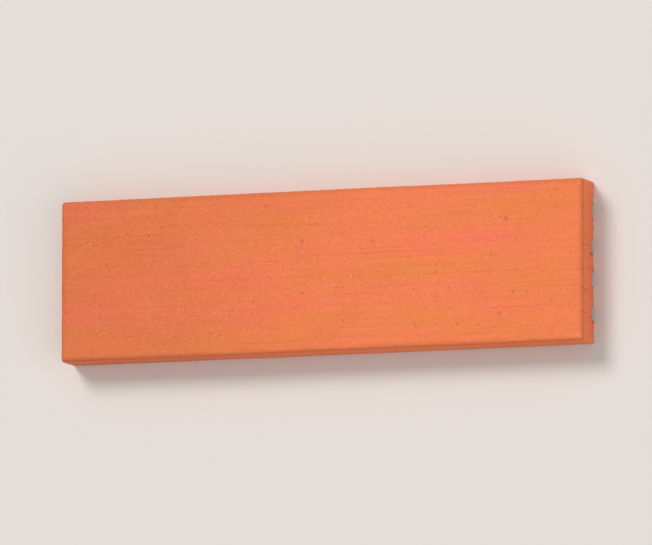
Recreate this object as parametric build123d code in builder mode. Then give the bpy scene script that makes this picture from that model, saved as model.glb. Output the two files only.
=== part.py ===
from build123d import *
import os
from math import atan2, degrees

# Thin brick veneer: one slip of fired clay, extruded as a ribbon and cut to length.
# It lies on its back with its face up. X runs along its length, Y across the courses
# and Z out of the face. The origin is the middle of the back. Millimetres.
length = 193.7
height = 57.2
thickness = 12.7

# Keys: dovetail grooves that the die leaves in the back, for the adhesive to grip.
key_count = 4
key_pitch = 12.0
key_mouth = 5.0
key_root = 7.0
key_depth = 2.0
key_lip_radius = 0.4
key_root_radius = 0.6

# Edges: the die rounds the long arrises, and brushing eases the cut ends.
face_arris_radius = 1.2
end_arris_radius = 0.8
back_edge_chamfer = 0.6

os.makedirs("parts", exist_ok=True)

with BuildPart() as thin_brick:

    # Section of the die: a flat bar with its face up and the keys cut in its back.
    with BuildSketch(Plane.YZ) as section:
        Rectangle(height, thickness, align=(Align.CENTER, Align.MIN))
        fillet(section.vertices().group_by(Axis.Y)[-1], face_arris_radius)
        chamfer(section.vertices().group_by(Axis.Y)[0], back_edge_chamfer)

        # Each key is wider at its root than at its mouth.
        flank_angle = degrees(atan2(2 * key_depth, key_root - key_mouth))
        with GridLocations(key_pitch, 0, key_count, 1):
            Trapezoid(
                key_root,
                key_depth,
                180 - flank_angle,
                align=(Align.CENTER, Align.MIN),
                mode=Mode.SUBTRACT,
            )
        key_roots = section.vertices().filter_by_position(Axis.Y, key_depth, key_depth)
        fillet(key_roots, key_root_radius)
        key_lips = section.vertices().group_by(Axis.Y)[0].sort_by(Axis.X)[1:-1]
        fillet(key_lips, key_lip_radius)

    extrude(amount=length / 2, both=True)

    # The easing starts on the face and runs round the long arrises and down each end.
    face_ends = thin_brick.faces().sort_by(Axis.Z)[-1].edges().filter_by(Axis.Y)
    fillet(face_ends, end_arris_radius)

thin_brick.part.label = "thin_brick"
export_step(thin_brick.part, "parts/thin_brick.step")
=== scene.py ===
import math
from collections import namedtuple
from functools import partialmethod
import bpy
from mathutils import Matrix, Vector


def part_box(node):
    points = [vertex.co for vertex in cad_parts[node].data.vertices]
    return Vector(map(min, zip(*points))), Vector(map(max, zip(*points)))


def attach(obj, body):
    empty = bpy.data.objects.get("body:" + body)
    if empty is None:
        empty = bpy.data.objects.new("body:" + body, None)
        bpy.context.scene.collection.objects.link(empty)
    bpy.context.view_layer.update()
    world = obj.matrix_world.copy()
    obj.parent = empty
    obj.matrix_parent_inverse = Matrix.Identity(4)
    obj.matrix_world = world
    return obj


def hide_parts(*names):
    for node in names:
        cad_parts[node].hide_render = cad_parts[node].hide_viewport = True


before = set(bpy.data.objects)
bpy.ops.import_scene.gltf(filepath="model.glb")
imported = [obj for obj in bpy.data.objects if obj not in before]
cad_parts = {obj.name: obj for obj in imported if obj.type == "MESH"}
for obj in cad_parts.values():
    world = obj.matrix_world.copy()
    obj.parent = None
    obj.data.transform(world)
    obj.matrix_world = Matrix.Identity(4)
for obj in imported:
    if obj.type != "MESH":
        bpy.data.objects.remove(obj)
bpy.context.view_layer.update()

from types import SimpleNamespace

import bpy
from mathutils import Matrix, Vector

# The thin brick: one slip of fired clay, pushed through a die that leaves dovetail keys
# along its back, cut to length with a wire and fired. Its face is smooth and its cut ends
# are torn. Sizes in this section are in millimetres until the mesh is finished.
metre = 1000.0
slip_low, slip_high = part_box("thin_brick")
slip_length, slip_height, slip_thickness = (slip_high - slip_low) * metre

# The keys, as the die cuts them.
key_count = 4
key_pitch = 12.0
key_mouth = 5.0
key_root = 7.0
key_depth = 2.0
key_lip_radius = 0.4
key_root_radius = 0.6

# The edges, and how much wider a nick makes their rounds.
face_arris_radius = 1.2
end_arris_radius = 0.8
back_edge_radius = 0.6
nick_size = (3.2, 3.2, 3.2)
nick_depth = 0.7

# The marks of the die: slow waves, broad and fine drag lines, and grit. A size is how
# far a mark reaches along, across and through the slip before it changes.
sway_size = (60.0, 40.0, 40.0)
sway_depth = 0.30
broad_drag_size = (90.0, 5.0, 5.0)
broad_drag_depth = 0.34
fine_drag_size = (70.0, 1.5, 1.5)
fine_drag_depth = 0.28
grit_size = (2.2, 1.8, 1.8)
grit_depth = 0.24

# The marks of the wire: ridges, grooves, and crumbs of torn clay, such as the die leaves
# on the back too.
ridge_size = (20.0, 1.8, 12.0)
ridge_depth = 0.8
groove_size = (20.0, 1.1, 16.0)
groove_depth = 0.30
crumb_size = (2.4, 2.4, 2.4)
crumb_depth = 1.0

# The marks here and there: short tears, and pits in a share of cells of one width.
tear_size = (7.0, 1.1, 1.1)
tear_depth = 0.12
pit_spacing = 5.5
pit_share = 0.12
pit_depth = 0.22

# A nick, groove or tear starts where its noise passes the first of two levels, and is at
# its deepest past the second.
nick_levels = (0.63, 0.74)
groove_levels = (0.56, 0.70)
tear_levels = (0.68, 0.80)

# Waves, drag, grit, ridges and crumbs add up, and what stays under these levels leaves
# the face and sides, the back or an end as it was.
face_level = 0.44
back_level = 0.36
end_level = 0.62

# How far the edges of the keys wander sideways, and how thick a layer moves along with
# the skin.
key_wander_size = (3.0, 3.0, 3.0)
key_wander_width = 0.3
skin_depth = 2.5

# About the longest side of a mesh cell, the seed of all that is random, and the least
# width of a round or a step, too small to see.
mesh_cell = 0.65
clay_seed = 3.0
hair = 0.001


class Field:
    """A node's output as a number, so that a formula is written as plain arithmetic."""

    def __init__(self, socket):
        self.socket = socket
        self.tree = socket.id_data

    def apply(self, operation, *others):
        """The output of a Math node that has this field as its first input."""
        node = self.tree.nodes.new("ShaderNodeMath")
        node.operation = operation
        for slot, value in zip(node.inputs, (self, *others)):
            plug(slot, value)
        return Field(node.outputs[0])

    __add__ = partialmethod(apply, "ADD")
    __sub__ = partialmethod(apply, "SUBTRACT")
    __mul__ = partialmethod(apply, "MULTIPLY")
    __truediv__ = partialmethod(apply, "DIVIDE")
    __mod__ = partialmethod(apply, "FLOORED_MODULO")
    __pow__ = partialmethod(apply, "POWER")
    __lt__ = partialmethod(apply, "LESS_THAN")
    __gt__ = partialmethod(apply, "GREATER_THAN")
    __abs__ = partialmethod(apply, "ABSOLUTE")
    __neg__ = partialmethod(apply, "MULTIPLY", -1.0)
    at_least = partialmethod(apply, "MAXIMUM")
    at_most = partialmethod(apply, "MINIMUM")
    sign = partialmethod(apply, "SIGN")
    rounded_down = partialmethod(apply, "FLOOR")
    rounded = partialmethod(apply, "ROUND")
    rounded_up = partialmethod(apply, "CEIL")
    square_root = partialmethod(apply, "SQRT")

    def __rsub__(self, other):
        return -self + other

    def __rtruediv__(self, other):
        return self ** -1.0 * other

    def rise(self, start, end):
        """0 up to start, 1 past end, and a smooth step between them."""
        node = self.tree.nodes.new("ShaderNodeMapRange")
        node.interpolation_type = "SMOOTHSTEP"
        plug(node.inputs["Value"], self)
        plug(node.inputs["From Min"], start)
        plug(node.inputs["From Max"], end)
        return Field(node.outputs[0])

    def fall(self, start, end):
        """1 up to start, 0 past end, and a smooth step between them."""
        return 1.0 - self.rise(start, end)


def plug(slot, value):
    """Gives a socket a value, or links a field or a socket to it."""
    if isinstance(value, Field):
        value = value.socket
    if isinstance(value, bpy.types.NodeSocket):
        slot.id_data.links.new(value, slot)
    else:
        slot.default_value = value


def add(tree, kind, inputs=(), **settings):
    """Adds one node, with its settings and then its inputs by name or number."""
    node = tree.nodes.new(kind)
    for name, value in settings.items():
        setattr(node, name, value)
    for name, value in dict(inputs).items():
        plug(node.inputs[name], value)
    return node


def vector(tree, x, y, z):
    """One vector socket made of three numbers."""
    return add(tree, "ShaderNodeCombineXYZ", {"X": x, "Y": y, "Z": z}).outputs["Vector"]


def split(socket):
    """The three numbers of a vector socket, as fields."""
    node = add(socket.id_data, "ShaderNodeSeparateXYZ", {"Vector": socket})
    return [Field(output) for output in node.outputs]


def cells(spot, size):
    """A spot counted in cells that are so many millimetres long, wide and tall."""
    return [place / width for place, width in zip(spot, size)]


noise_middle = 0.5


def noise(spot, size, seed, detail=2.0, warp=0.0):
    """Soft noise about its middle, with features of about the given size, bent by a warp."""
    tree = spot[0].tree
    node = add(tree, "ShaderNodeTexNoise", {
        "Vector": vector(tree, *cells(spot, size)),
        "W": seed,
        "Scale": 1.0,
        "Detail": detail,
        "Distortion": warp,
    }, noise_dimensions="4D")
    return Field(node.outputs[0])


def pits(spot, spacing, seed, share):
    """Ragged spots, 1 in the middle and 0 outside, in a share of cells of one width."""
    # A radius is a share of the cell's width, and most pits are small.
    least_radius = 0.06
    more_radius = 0.2
    bumps_per_cell = 6.0
    shift_per_seed = (7.3, 3.1, 5.7)
    tree = spot[0].tree
    spot = cells(spot, (spacing, spacing, spacing))
    moved = [place + seed * shift for place, shift in zip(spot, shift_per_seed)]
    scattered = add(tree, "ShaderNodeTexVoronoi", {
        "Vector": vector(tree, *moved),
        "Scale": 1.0,
    }, voronoi_dimensions="3D")
    chance, bulk, _ = split(scattered.outputs["Color"])
    radius = (bulk ** 2.0 * more_radius + least_radius) * (chance < share)
    bumps = noise([place * bumps_per_cell for place in spot], (1.0, 1.0, 1.0), seed)
    distance = Field(scattered.outputs["Distance"]) * (bumps / noise_middle)
    return distance.fall(radius * 0.5, radius + hair)


def marks(spot, seed):
    """Where the skin is broken: scattered pits, short tears, and grooves of the wire. The
    mesh and the material ask with the same seed, so that a mark's painted shade lies in it."""
    pit = pits(spot, pit_spacing, seed + 9.0, pit_share)
    tear = noise(spot, tear_size, seed + 10.0).rise(*tear_levels)
    groove = noise(spot, groove_size, seed + 11.0).rise(*groove_levels)
    return pit, tear, groove


def new_tree(name, **inputs):
    """A Geometry Nodes tree with one named number input for each keyword, the values to
    set on its modifier, the geometry that comes in, and the inputs as fields."""
    tree = bpy.data.node_groups.new(name, "GeometryNodeTree")
    tree.is_modifier = True
    for way in ("INPUT", "OUTPUT"):
        tree.interface.new_socket("Geometry", in_out=way, socket_type="NodeSocketGeometry")
    values = {}
    for word, value in inputs.items():
        label = word.replace("_", " ").capitalize()
        socket = tree.interface.new_socket(
            label, in_out="INPUT", socket_type="NodeSocketFloat"
        )
        values[socket.identifier] = float(value)
    geometry, *outputs = tree.nodes.new("NodeGroupInput").outputs
    size = SimpleNamespace(**dict(zip(inputs, map(Field, outputs))))
    return tree, values, geometry, size


def end_tree(geometry, material):
    """The tree's last nodes: real geometry, smooth shading and the material."""
    tree = geometry.id_data
    real = add(tree, "GeometryNodeRealizeInstances", {"Geometry": geometry})
    smooth = add(tree, "GeometryNodeSetShadeSmooth", {"Geometry": real.outputs[0]})
    dressed = add(tree, "GeometryNodeSetMaterial", {
        "Geometry": smooth.outputs[0],
        "Material": material,
    })
    add(tree, "NodeGroupOutput", {"Geometry": dressed.outputs[0]})


def here(tree):
    """The place of each point."""
    return add(tree, "GeometryNodeInputPosition").outputs["Position"]


def move(geometry, way, x, y, z):
    """Moves each point to a "Position", or by an "Offset", of its own."""
    tree = geometry.id_data
    inputs = {"Geometry": geometry, way: vector(tree, x, y, z)}
    return add(tree, "GeometryNodeSetPosition", inputs).outputs["Geometry"]


def keep(geometry, value, kind):
    """Keeps a value on the points of a geometry, for use after the points have moved."""
    node = geometry.id_data.nodes.new("GeometryNodeCaptureAttribute")
    node.capture_items.new(kind, "kept")
    plug(node.inputs["Geometry"], geometry)
    plug(node.inputs["kept"], value)
    return node.outputs["Geometry"], node.outputs["kept"]


def crowd(position):
    """Moves grid lines, from -1 to 1, closer together towards the arrises."""
    stretch = 0.06
    sharpness = 12.0
    return position * (1.0 + stretch - abs(position) ** sharpness * stretch)


def crowd_span(share):
    """The same for grid lines from 0 to 1."""
    return crowd(share * 2.0 - 1.0) * 0.5 + 0.5


def die_plate(tree, size):
    """The die's section as a plate of cells, with the keys left out."""
    # Cells across the section: the outer lands, the keys and the lands between them. The
    # outer lands and the body have finer ones, because their arrises are rounded later.
    finer_land = 1.4
    finer_body = 1.1
    outer_width = size.height * 0.5 + size.first_key - size.root * 0.5
    key_columns = (size.root / size.cell).rounded_up()
    land_columns = ((size.pitch - size.root) / size.cell).rounded_up()
    outer_columns = (outer_width / size.cell * finer_land).rounded_up()
    period = key_columns + land_columns
    keyed_columns = size.count * period - land_columns
    columns = keyed_columns + outer_columns * 2.0
    key_rows = (size.depth / size.cell).rounded_up() + 1.0
    body_rows = ((size.thickness - size.depth) / size.cell * finer_body).rounded_up()
    rows = key_rows + body_rows
    plate = add(tree, "GeometryNodeMeshGrid", {
        "Size X": columns,
        "Size Y": rows,
        "Vertices X": columns + 1.0,
        "Vertices Y": rows + 1.0,
    }).outputs["Mesh"]
    across, up, _ = split(here(tree))
    across = across + columns * 0.5 - outer_columns
    up = up + rows * 0.5

    # The keys' cells go: a face's middle is at least half a cell from every grid line.
    quarter_cell = 0.25
    keyed = across.at_least(0.0).at_most(keyed_columns)
    phase = keyed % period
    in_key = (phase > quarter_cell) * (phase < key_columns - quarter_cell) * (up < key_rows)
    plate = add(tree, "GeometryNodeDeleteGeometry", {
        "Geometry": plate,
        "Selection": in_key,
    }, domain="FACE").outputs["Geometry"]

    # Each point goes to its place: a key widens from mouth to root, and the columns even
    # out towards the face.
    in_depth = crowd_span((up / key_rows).at_most(1.0))
    opening = size.mouth + (size.root - size.mouth) * in_depth
    outer_land = size.height * 0.5 + size.first_key - opening * 0.5
    past_keys = across.at_most(0.0) + (across - keyed_columns).at_least(0.0)
    in_land = crowd_span((phase - key_columns).at_least(0.0) / land_columns)
    key_y = (
        size.first_key
        + (keyed / period).rounded_down() * size.pitch
        + (crowd_span(phase.at_most(key_columns) / key_columns) - 0.5) * opening
        + in_land * (size.pitch - opening)
        + crowd(past_keys / outer_columns) * outer_land
    )
    face_y = crowd((across + outer_columns) / columns * 2.0 - 1.0) * size.height * 0.5
    in_body = (up - key_rows).at_least(0.0) / body_rows
    y = key_y + (face_y - key_y) * in_body
    z = size.depth * in_depth + (size.thickness - size.depth) * crowd(in_body)
    return move(plate, "Position", 0.0, y, z)


def round_off(first, second, radius):
    """How far a point moves away from each of two faces as their shared edge is rounded."""
    nears = [(1.0 - abs(gap) / radius).at_least(0.0) for gap in (first, second)]
    reach = (nears[0] ** 2.0 + nears[1] ** 2.0).square_root().at_least(1.0)
    return [near * radius * (1.0 - 1.0 / reach) for near in nears]


def round_keys(plate, size):
    """Rounds off the lips of each key and fills out its root corners."""
    _, y, z = split(here(plate.id_data))
    last_key = size.count - 1.0
    key = ((y - size.first_key) / size.pitch).rounded().at_least(0.0).at_most(last_key)
    off_key = y - size.first_key - key * size.pitch
    flank_slope = (size.root - size.mouth) * 0.5 / size.depth
    off_flank = abs(off_key) - size.mouth * 0.5 - flank_slope * z.at_most(size.depth)
    lip_in, lip_up = round_off(off_flank, z, size.lip_radius)
    root_out, root_down = round_off(off_flank, size.depth - z, size.root_radius)
    up = lip_up - root_down
    sideways = off_key.sign() * (lip_in - root_out + flank_slope * up)
    return move(plate, "Offset", 0.0, sideways, up)


def draw_out(plate, size):
    """The plate's outline drawn along the ribbon's length, with a station for each row."""
    tree = plate.id_data
    faces_at_edge = Field(add(tree, "GeometryNodeInputMeshEdgeNeighbors").outputs[0])
    outline = add(tree, "GeometryNodeMeshToCurve", {
        "Mesh": plate,
        "Selection": faces_at_edge < 2.0,
    })
    outline, drawn_place = keep(outline.outputs["Curve"], here(tree), "VECTOR")
    line = add(tree, "GeometryNodeCurvePrimitiveLine", {"End": (1.0, 0.0, 0.0)})
    stations = add(tree, "GeometryNodeResampleCurve", {
        "Curve": line.outputs["Curve"],
        "Count": (size.length / size.cell).rounded_up() + 1.0,
    })
    share = add(tree, "GeometryNodeSplineParameter").outputs["Factor"]
    rail, along = keep(stations.outputs["Curve"], share, "FLOAT")
    skin = add(tree, "GeometryNodeCurveToMesh", {"Curve": rail, "Profile Curve": outline})
    _, y, z = split(drawn_place)
    x = crowd(Field(along) * 2.0 - 1.0) * size.length * 0.5
    skin = move(skin.outputs["Mesh"], "Position", x, y, z)
    return add(tree, "GeometryNodeFlipFaces", {"Mesh": skin}).outputs["Mesh"]


def keyed_ribbon_tree(material):
    """The ribbon as the die leaves it, closed by the plate at each cut end."""
    tree, values, _, size = new_tree(
        "keyed ribbon",
        length=slip_length,
        height=slip_height,
        thickness=slip_thickness,
        count=key_count,
        pitch=key_pitch,
        mouth=key_mouth,
        root=key_root,
        depth=key_depth,
        lip_radius=key_lip_radius,
        root_radius=key_root_radius,
        cell=mesh_cell,
    )
    size.first_key = (1.0 - size.count) * size.pitch * 0.5
    plate = round_keys(die_plate(tree, size), size)
    right_end = move(plate, "Offset", size.length * 0.5, 0.0, 0.0)
    left_end = move(plate, "Offset", size.length * -0.5, 0.0, 0.0)
    left_end = add(tree, "GeometryNodeFlipFaces", {"Mesh": left_end}).outputs["Mesh"]
    joined = add(tree, "GeometryNodeJoinGeometry")
    for part in (draw_out(plate, size), right_end, left_end):
        plug(joined.inputs["Geometry"], part)
    gap_to_close = 0.01
    closed = add(tree, "GeometryNodeMergeByDistance", {
        "Geometry": joined.outputs["Geometry"],
        "Distance": gap_to_close,
    })
    end_tree(closed.outputs["Geometry"], material)
    return tree, values


def ease_arrises(geometry, spot, size):
    """Brings the points outside a core in to rounds that wander a little, and that open
    out where a nick has broken the edge."""
    x, y, z = spot
    side = size.height * 0.5
    end = size.length * 0.5

    # Every radius wanders about its size, and a nick adds to it.
    wander_size = (23.0, 23.0, 23.0)
    least_wander = 0.65
    more_wander = 0.7
    wander = noise(spot, wander_size, size.seed) * more_wander + least_wander
    nick = noise(spot, nick_size, size.seed + 1.0).rise(*nick_levels) * size.nick_depth

    # Part way up the thickness, the long edges change from the back's radius to the
    # face's. The back is rounded only close to its sides, well away from the keys.
    change_starts = 0.3
    change_ends = 0.6
    back_round_starts = 4.0
    back_round_full = 1.5
    on_front = z.rise(size.thickness * change_starts, size.thickness * change_ends)
    long_edge = size.back_edge + (size.face_arris - size.back_edge) * on_front
    off_keys = abs(y).rise(side - back_round_starts, side - back_round_full)
    long_radius = long_edge * wander + nick
    end_radius = size.end_arris * wander + nick
    back_radius = size.back_edge * wander * off_keys + hair
    face_radius = size.face_arris * wander + nick

    # The core is the slip less its rounds, and a point past it on more than one side is
    # pulled in to the ellipsoid of the three radii.
    past_core = []
    shares = []
    for value, low, high, low_radius, high_radius in (
        (x, -end, end, end_radius, end_radius),
        (y, -side, side, long_radius, long_radius),
        (z, 0.0, size.thickness, back_radius, face_radius),
    ):
        below = (value - low - low_radius).at_most(0.0)
        above = (value + high_radius - high).at_least(0.0)
        past_core.append(below + above)
        shares.append(below / low_radius + above / high_radius)
    reach = (shares[0] ** 2.0 + shares[1] ** 2.0 + shares[2] ** 2.0).square_root()
    pull = 1.0 / reach.at_least(1.0) - 1.0
    return move(geometry, "Offset", *[past * pull for past in past_core])


def wear(geometry, spot, size):
    """Moves each skin in by its own marks, and the clay just under it along with it, so
    that nothing folds at a sharp lip."""
    x, y, z = spot
    side = size.height * 0.5
    end = size.length * 0.5
    seed = size.seed

    # A crumb goes in where its noise is over this level, and stands out where it is under.
    crumb_level = 0.35
    sway = noise(spot, sway_size, seed + 2.0) * size.sway
    fine_drag = noise(spot, fine_drag_size, seed + 3.0, detail=1.0) * size.fine_drag
    broad_drag = noise(spot, broad_drag_size, seed + 4.0) * size.broad_drag
    drag = fine_drag + broad_drag
    grit = noise(spot, grit_size, seed + 5.0, detail=1.0) * size.grit
    ridge = noise(spot, ridge_size, seed + 6.0) * size.ridge
    crumb = (noise(spot, crumb_size, seed + 7.0) - crumb_level) * size.crumb
    wander = (noise(spot, key_wander_size, seed + 8.0) - noise_middle) * size.key_wander
    pit, tear, groove = marks(spot, seed)

    # How deep the face and the sides are drawn, how ragged the back is, and how deep the
    # ends are torn, which is less close under the face, so that its arris stays whole.
    spared_starts = 4.0
    spared_full = 0.5
    spared_share = 0.7
    drawn = (sway + drag + grit - size.face_level).at_least(0.0)
    drawn = drawn + tear * size.tear + pit * size.pit
    ragged = (drag + crumb - size.back_level).at_least(0.0)
    torn = (sway + ridge + crumb + grit - size.end_level).at_least(0.0) + groove * size.groove
    under_face = z.rise(size.thickness - spared_starts, size.thickness - spared_full)
    torn = torn * (1.0 - under_face * spared_share)

    # How near each skin a point lies: 1 on it and 0 past its layer.
    at_face = z.rise(size.thickness - size.skin, size.thickness)
    at_side = abs(y).rise(side - size.skin, side)
    at_end = abs(x).rise(end - size.skin, end)
    at_back = z.fall(size.key_depth, size.key_depth + size.skin)
    return move(
        geometry,
        "Offset",
        x.sign() * at_end * -torn,
        at_back * (1.0 - at_side) * wander - y.sign() * at_side * drawn,
        at_back * ragged - at_face * drawn,
    )


def fired_surface_tree(material):
    """What the wire, handling and the kiln leave on the ribbon, which ends up in metres."""
    tree, values, geometry, size = new_tree(
        "fired surface",
        length=slip_length,
        height=slip_height,
        thickness=slip_thickness,
        key_depth=key_depth,
        face_arris=face_arris_radius,
        end_arris=end_arris_radius,
        back_edge=back_edge_radius,
        nick_depth=nick_depth,
        sway=sway_depth,
        broad_drag=broad_drag_depth,
        fine_drag=fine_drag_depth,
        grit=grit_depth,
        ridge=ridge_depth,
        groove=groove_depth,
        crumb=crumb_depth,
        tear=tear_depth,
        pit=pit_depth,
        face_level=face_level,
        back_level=back_level,
        end_level=end_level,
        key_wander=key_wander_width,
        skin=skin_depth,
        seed=clay_seed,
    )
    spot = split(here(tree))
    worn = wear(ease_arrises(geometry, spot, size), spot, size)
    metres = add(tree, "GeometryNodeTransform", {
        "Geometry": worn,
        "Scale": (1.0 / metre, 1.0 / metre, 1.0 / metre),
    })
    end_tree(metres.outputs["Geometry"], material)
    return tree, values


def shade(red, green, blue):
    """A colour written as it looks on a screen, from 0 to 255, by the sRGB curve."""
    linear = []
    for level in (red / 255, green / 255, blue / 255):
        linear.append(level / 12.92 if level <= 0.04045 else ((level + 0.055) / 1.055) ** 2.4)
    return (*linear, 1.0)


# The clay's own colour, and the tones that change it: each one's colour, and how much of
# it shows where there is most of it.
Tone = namedtuple("Tone", "colour strength")
body_orange = shade(246, 128, 78)
rose_cloud = Tone(shade(255, 119, 92), 0.55)
amber_cloud = Tone(shade(236, 133, 60), 0.55)
kiln_flash = Tone(shade(231, 232, 222), 1.0)
dark_mottle = Tone(shade(202, 96, 54), 0.11)
pale_mottle = Tone(shade(255, 151, 103), 0.11)
dark_grain = Tone(shade(190, 88, 50), 0.30)
pale_grain = Tone(shade(255, 159, 112), 0.25)
drag_brown = Tone(shade(168, 78, 46), 0.12)
iron_brown = Tone(shade(140, 68, 44), 0.26)
pale_sand = Tone(shade(252, 180, 136), 0.26)
# Painted shade: a darker band along the arrises round the face.
edge_shade_brown = Tone(shade(182, 92, 56), 0.40)
# Painted shade: darkens the pits, tears and wire grooves.
hollow_shade_brown = Tone(shade(150, 74, 46), 1.0)

# How far the clouds, the mottle, the grain and the drag lines reach along, across and
# through the slip.
cloud_size = (52.0, 9.0, 9.0)
mottle_size = (18.0, 14.0, 14.0)
grain_size = (0.9, 0.7, 0.7)
drag_line_size = (45.0, 0.55, 0.55)


def over(under, tone, where, blend="MIX"):
    """A colour with a tone over it, or multiplied into it, where a field is 1."""
    # A Mix node's sockets for its factor, its two colours and the mixed colour.
    factor, first, second, mixed = 0, 6, 7, 2
    node = add(where.tree, "ShaderNodeMix", {
        factor: where * tone.strength,
        first: under,
        second: tone.colour,
    }, data_type="RGBA", blend_type=blend)
    return node.outputs[mixed]


def flashed(spot, seed):
    """How far the kiln's flash has browned the clay: fully at the left end and not at all
    past two thirds of the length, with a clouded edge and streaks along the slip."""
    flash_from = -105.0
    flash_to = 35.0
    edge_size = (45.0, 22.0, 22.0)
    edge_reach = 70.0
    streak_size = (120.0, 3.0, 3.0)
    streak_strength = 0.35
    edge = noise(spot, edge_size, seed, detail=3.0) - noise_middle
    streak = noise(spot, streak_size, seed + 1.0, detail=3.0) - noise_middle
    flash = (spot[0] + edge * edge_reach).fall(flash_from, flash_to)
    return (flash + streak * streak_strength).at_least(0.0).at_most(1.0)


def edge_shade(spot, seed):
    """Where painted shade darkens the arrises round the face, in a band of uneven width."""
    band_size = (9.0, 9.0, 9.0)
    full_width = 0.2
    least_width = 0.9
    more_width = 3.0
    gone_under_face = 2.0
    full_under_face = 0.5
    x, y, z = spot
    to_end = slip_length * 0.5 - abs(x)
    to_side = slip_height * 0.5 - abs(y)
    width = noise(spot, band_size, seed + 8.0, detail=3.0) * more_width + least_width
    on_face = z.rise(slip_thickness - gone_under_face, slip_thickness - full_under_face)
    return to_end.at_most(to_side).fall(full_width, width) * on_face


def hollow_shading(spot, seed):
    """How much painted shade darkens the pits and tears, and the grooves, which only the cut
    ends show.
    """
    pit_darkness = 0.2
    tear_darkness = 0.35
    groove_darkness = 0.3
    full_from_end = 0.5
    gone_from_end = 1.2
    pit, tear, groove = marks(spot, seed)
    on_end = (slip_length * 0.5 - abs(spot[0])).fall(full_from_end, gone_from_end)
    off_end = (pit * pit_darkness + tear * tear_darkness) * (1.0 - on_end)
    return off_end + groove * on_end * groove_darkness


def fired_clay():
    """Orange fired clay: clouded, flashed, mottled and grained, with faint drag lines, a
    few specks of iron and sand, and painted shade along the arrises and in the hollows."""
    material = bpy.data.materials.new("fired_clay")
    material.use_nodes = True
    tree = material.node_tree
    surface = tree.nodes["Principled BSDF"]
    place = add(tree, "ShaderNodeTexCoord").outputs["Object"]
    spot = [value * metre for value in split(place)]
    seed = clay_seed
    cloud = noise(spot, cloud_size, seed + 2.0)
    mottle = noise(spot, mottle_size, seed + 3.0, detail=5.0, warp=0.6)
    grain = noise(spot, grain_size, seed + 4.0, detail=4.0, warp=1.2)
    drag = noise(spot, drag_line_size, seed + 5.0).rise(0.55, 0.75)
    iron = pits(spot, spacing=2.6, seed=seed + 6.0, share=0.18)
    sand = pits(spot, spacing=2.2, seed=seed + 7.0, share=0.25)
    hollow_shade = hollow_shading(spot, seed)

    # The flash dims the clouds, and every other tone lies over both. Each rise or fall is
    # between two levels of its noise.
    colour = over(body_orange, rose_cloud, cloud.rise(0.48, 0.68))
    colour = over(colour, amber_cloud, cloud.fall(0.32, 0.52))
    colour = over(colour, kiln_flash, flashed(spot, seed), blend="MULTIPLY")
    for tone, where in (
        (dark_mottle, mottle.rise(0.45, 0.80)),
        (pale_mottle, mottle.fall(0.20, 0.50)),
        (dark_grain, grain.rise(0.48, 0.72)),
        (pale_grain, grain.fall(0.30, 0.50)),
        (drag_brown, drag),
        (iron_brown, iron),
        (pale_sand, sand),
        # The last two lay painted shade along the face's arrises and in the hollows.
        (edge_shade_brown, edge_shade(spot, seed)),
        (hollow_shade_brown, hollow_shade),
    ):
        colour = over(colour, tone, where)
    plug(surface.inputs["Base Color"], colour)

    # Matt, and a little smoother in places.
    patch_size = (2.0, 2.0, 2.0)
    least_roughness = 0.62
    more_roughness = 0.25
    patch = noise(spot, patch_size, seed + 12.0)
    plug(surface.inputs["Roughness"], patch * more_roughness + least_roughness)
    surface.inputs["Specular IOR Level"].default_value = 0.3

    # Rough to the touch: the bump's height is in metres, and each share is a part of it.
    tooth_size = (0.9, 0.8, 0.8)
    bump_height = 0.0003
    tooth_share = 0.7
    drag_share = 0.25
    iron_share = 0.4
    hollow_share = 0.5
    tooth = noise(spot, tooth_size, seed + 13.0, detail=5.0, warp=1.2)
    raised = tooth * tooth_share - drag * drag_share - iron * iron_share
    bump = add(tree, "ShaderNodeBump", {
        "Height": raised - hollow_shade * hollow_share,
        "Distance": bump_height,
        "Strength": 1.0,
    })
    plug(surface.inputs["Normal"], bump.outputs["Normal"])
    return material


clay = fired_clay()
slip = bpy.data.objects.new("fired_slip", bpy.data.meshes.new("fired_slip"))
bpy.context.collection.objects.link(slip)
for make_tree in (keyed_ribbon_tree, fired_surface_tree):
    slip_tree, slip_values = make_tree(clay)
    step = slip.modifiers.new(slip_tree.name, "NODES")
    step.node_group = slip_tree
    for identifier, value in slip_values.items():
        step[identifier] = value
finished = slip.evaluated_get(bpy.context.evaluated_depsgraph_get())
slip_mesh = bpy.data.meshes.new_from_object(finished)
slip.modifiers.clear()
slip.data = slip_mesh
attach(slip, "root")
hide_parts("thin_brick")

# The studio: a plain pale floor, an even sky and two broad soft lamps, at a level where
# a colour looks as it is written. The floor's size is in metres.
floor_half = 15.0
floor_corners = [
    (-floor_half, -floor_half, 0.0),
    (floor_half, -floor_half, 0.0),
    (floor_half, floor_half, 0.0),
    (-floor_half, floor_half, 0.0),
]
floor_mesh = bpy.data.meshes.new("floor")
floor_mesh.from_pydata(floor_corners, [], [(0, 1, 2, 3)])
floor = bpy.data.objects.new("floor", floor_mesh)
bpy.context.collection.objects.link(floor)
floor_paint = bpy.data.materials.new("pale_floor")
floor_paint.use_nodes = True
floor_surface = floor_paint.node_tree.nodes["Principled BSDF"]
floor_surface.inputs["Base Color"].default_value = shade(228, 222, 216)
floor_surface.inputs["Roughness"].default_value = 0.9
floor_surface.inputs["Specular IOR Level"].default_value = 0.1
floor_mesh.materials.append(floor_paint)

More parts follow.
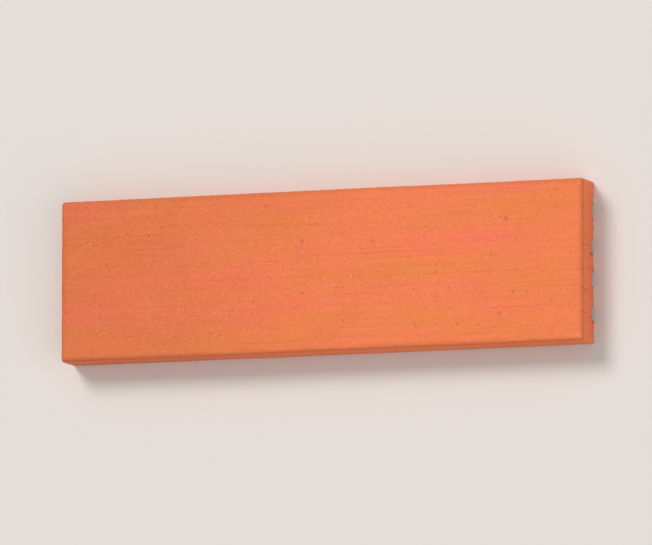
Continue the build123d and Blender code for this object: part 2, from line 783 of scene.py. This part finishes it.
sky = bpy.data.worlds.new("studio")
sky.use_nodes = True
sky_light = sky.node_tree.nodes["Background"]
sky_light.inputs["Color"].default_value = (1.0, 1.0, 1.0, 1.0)
sky_light.inputs["Strength"].default_value = 0.45
bpy.context.scene.world = sky


def soft_lamp(name, azimuth, height_angle, level, spread):
    """A far, broad lamp. Its level is what it adds to a level white surface."""
    lamp = bpy.data.lights.new(name, "SUN")
    lamp.energy = level * math.pi / math.sin(math.radians(height_angle))
    lamp.angle = math.radians(spread)
    holder = bpy.data.objects.new(name, lamp)
    bpy.context.collection.objects.link(holder)
    turn = math.radians(azimuth)
    tilt = math.radians(height_angle)
    towards_lamp = Vector((
        math.sin(turn) * math.cos(tilt),
        -math.cos(turn) * math.cos(tilt),
        math.sin(tilt),
    ))
    holder.rotation_euler = towards_lamp.to_track_quat("Z", "Y").to_euler()


soft_lamp("key", azimuth=215.0, height_angle=48.0, level=0.42, spread=24.0)
soft_lamp("fill", azimuth=60.0, height_angle=35.0, level=0.13, spread=60.0)

# The camera stands where the photographer stood from this slip: off to the right and
# below its middle, with the slip's ends upright in the picture. Its distance is in metres.
camera_turn = math.radians(19.4)
camera_drop = math.radians(7.4)
camera_distance = 4.42
slip_share_of_picture = 0.80
towards_camera = Vector((
    math.sin(camera_turn) * math.cos(camera_drop),
    -math.sin(camera_drop),
    math.cos(camera_turn) * math.cos(camera_drop),
))
up_the_slip = Vector((0.0, 1.0, 0.0))
right = up_the_slip.cross(towards_camera).normalized()
upward = towards_camera.cross(right)
slip_centre = (slip_low + slip_high) / 2
camera_data = bpy.data.cameras.new("camera")
camera_data.sensor_width = 36.0
seen_length = slip_length / metre * right.x
camera_data.lens = (
    camera_data.sensor_width * slip_share_of_picture * camera_distance / seen_length
)
camera = bpy.data.objects.new("camera", camera_data)
bpy.context.collection.objects.link(camera)
camera.matrix_world = Matrix.Translation(
    slip_centre + towards_camera * camera_distance
) @ Matrix((right, upward, towards_camera)).transposed().to_4x4()
bpy.context.scene.camera = camera
bpy.context.scene.view_settings.view_transform = "Standard"
